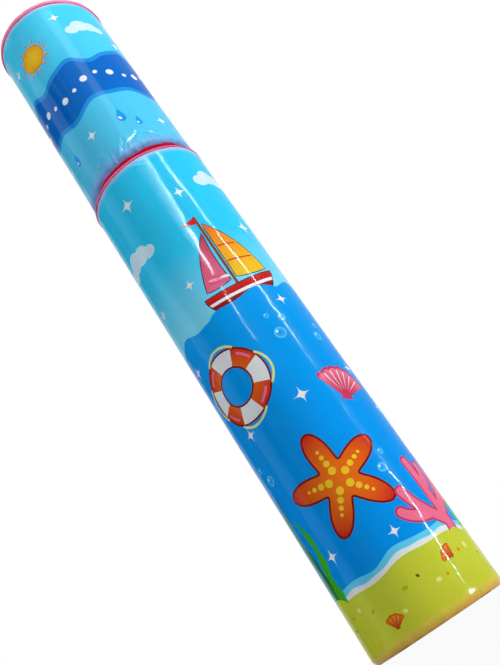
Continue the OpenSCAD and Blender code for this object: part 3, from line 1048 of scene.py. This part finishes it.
CAMERA_DISTANCE = 318.59
CAMERA_HEIGHT = 3.13
CAMERA_PAN = math.radians(0.354)
CAMERA_PITCH = math.radians(22.538)
CAMERA_ROLL = math.radians(-33.879)
CAMERA_LENS = 44.258
CAMERA_SENSOR = 36.0
CAMERA_NEAR = 0.01


def add_camera():
    data = bpy.data.cameras.new("camera")
    data.lens = CAMERA_LENS
    data.sensor_width = CAMERA_SENSOR
    data.clip_start = CAMERA_NEAR
    camera = add_object("camera", data)
    place = Matrix.Translation((0, -CAMERA_DISTANCE * MM, CAMERA_HEIGHT * MM))
    aim = Matrix.Rotation(-CAMERA_PAN, 4, "Z") @ Matrix.Rotation(math.pi / 2 + CAMERA_PITCH, 4, "X")
    camera.matrix_world = place @ aim @ Matrix.Rotation(CAMERA_ROLL, 4, "Z")
    bpy.context.scene.camera = camera


# Light: sizes are in metres, angles in degrees round from the camera's side, to the right, and up

LIGHT_AIM = Vector((0, 0, 0.17))
GLARE = (0.8, 1, 1)
STRIP_REACH = 1.15
GLOW_LENGTH = 0.4
WORLD_FILL = (0.92, 0.97, 1.1)
WORLD_STRENGTH = 0.24
FLOOR_HALF = 3.0
FLOOR_GREY = 0.7
BOARD_GREY = 0.02


def direction(azimuth, elevation):
    a = math.radians(azimuth)
    e = math.radians(elevation)
    return Vector((math.sin(a) * math.cos(e), -math.cos(a) * math.cos(e), math.sin(e)))


def add_lamp(name, place, along, width, length, radiance, rays="gloss"):
    """A flat lamp that faces the object. Its radiance is 1 where it looks as bright as white paper.
    It lights only the gloss or only the colours."""
    data = bpy.data.lights.new(name, "AREA")
    data.shape = "RECTANGLE"
    data.size = width
    data.size_y = length
    data.energy = radiance * math.pi * width * length
    data.color = GLARE if rays == "gloss" else (1, 1, 1)
    away = (place - LIGHT_AIM).normalized()
    side = along.cross(away).normalized()
    turn = Matrix((side, away.cross(side), away)).transposed().to_4x4()
    lamp = add_object(name, data)
    lamp.matrix_world = Matrix.Translation(place) @ turn
    lamp.visible_camera = False
    lamp.visible_diffuse = rays == "colour"
    lamp.visible_glossy = rays == "gloss"


def add_panel(name, azimuth, elevation, distance, width, length, radiance, rays="gloss"):
    """A lamp at an angle from the object."""
    place = LIGHT_AIM + direction(azimuth, elevation) * distance
    add_lamp(name, place, direction(azimuth, elevation + 90), width, length, radiance, rays)


def mirrored(angle, height):
    """Where a lamp stands that the barrel's film mirrors to the camera at an angle round it and a height."""
    normal = direction(angle, 0)
    place = normal * barrel.radius * MM + Vector((0, 0, height * MM))
    ray = place - bpy.context.scene.camera.location
    ray -= 2 * ray.dot(normal) * normal
    return place + ray * (STRIP_REACH / ray.xy.length)


def add_strip(name, width, radiance, marks):
    """Narrow lamps in a row. The film shows them as one line through marks of angle, height and strength."""
    for i, (mark, after) in enumerate(zip(marks, marks[1:])):
        start = mirrored(*mark[:2])
        end = mirrored(*after[:2])
        along = end - start
        add_lamp(f"{name}_{i}", (start + end) / 2, along, width, along.length, radiance * mark[2])


def add_lights():
    add_panel("key_panel", 66, 24, 1.4, 0.5, 1.2, 7.0, "colour")
    add_panel("top_fill", 0, 55, 0.6, 0.3, 0.3, 4.0, "colour")
    add_panel("left_fill", -106, 20, 1.4, 0.5, 0.8, 3.4, "colour")
    add_strip("front_strip", 0.06, 300, (
        (14.5, 217, 0.8), (13, 204, 1), (11.5, 188, 1), (10, 176, 1), (8, 166, 1), (7, 156, 0.8),
        (5.5, 144, 0.5), (5, 134, 0.3), (4.5, 120, 0)))
    add_strip("side_strip", 0.045, 250, (
        (24, 217, 0.6), (25, 206, 0.8), (28, 190, 0.8), (29, 178, 0.8), (31, 160, 1), (32.5, 146, 1),
        (33, 130, 0.8), (33.5, 114, 0.3), (34, 98, 0.2), (35, 52, 1.6), (35, 32, 1.8), (33.5, 20, 1.8),
        (33, 6, 0)))
    for i, (width, radiance) in enumerate(((0.18, 24), (0.26, 16), (0.36, 10))):
        place = mirrored(9 - i, 188)
        along = mirrored(12 - i, 206) - place
        add_lamp(f"front_glow_{i}", place, along, width, GLOW_LENGTH, radiance)
    add_panel("side_sheen", 78, 10, 1.25, 0.2, 0.7, 4)
    add_panel("left_sheen", -80, 18, 1.6, 0.72, 1.8, 4)
    add_panel("left_streak_0", -44, 22, 1.5, 0.05, 1.4, 6)
    add_panel("left_streak_1", -26, 22, 1.5, 0.05, 1.4, 6)
    add_panel("top_sheen", 27, 52, 1.4, 0.3, 0.5, 14)
    add_panel("crinkle_light", 18, 70, 1.3, 0.3, 0.3, 260)


def add_world():
    """Faint light from all round, which shows itself as white."""
    world = Nodes(bpy.data.worlds.new("studio"))
    fill = world.nodes["Background"]
    world.put(fill.inputs["Strength"], WORLD_STRENGTH)
    world.put(fill.inputs["Color"], WORLD_FILL)
    white = world.node("Background", Strength=1, Color=(1, 1, 1))
    world.show(world.shown_ray(), fill, white, "World Output")
    bpy.context.scene.world = world.data


def add_floor():
    """A pale floor that keeps the object's shadow and pales to the white of the surroundings."""
    m = Material("pale_floor", Base_Color=(FLOOR_GREY,) * 3, Roughness=0.9, Specular_IOR_Level=0.0)
    reach = m.node("VectorMath", m.place)
    reach.operation = "LENGTH"
    paling = m.ramp(reach.outputs["Value"], 0.25 * FLOOR_HALF, 0.9 * FLOOR_HALF, 0.9, 1.0)
    share = m.math("MULTIPLY", m.shown_ray(), paling)
    m.show(share, m.shader, m.node("Emission"), "Material Output")
    corners = [(x * FLOOR_HALF, y * FLOOR_HALF, 0) for x, y in ((-1, -1), (1, -1), (1, 1), (-1, 1))]
    floor = add_mesh("floor", corners, [(0, 1, 2, 3)], m.data)


def add_dark_board():
    """A dark board out of sight on the left, which keeps that side of the gloss deep."""
    m = Material("dark_board", Base_Color=(BOARD_GREY,) * 3, Roughness=0.9)
    corners = [(-2, -1.6, 0), (-2, 2.4, 0), (-2, 2.4, 2.6), (-2, -1.6, 2.6)]
    board = add_mesh("dark_board", corners, [(0, 1, 2, 3)], m.data)
    board.visible_camera = False
    board.visible_diffuse = False
    board.visible_shadow = False


add_camera()
add_lights()
add_dark_board()
add_world()
add_floor()
bpy.context.scene.view_settings.view_transform = "Standard"
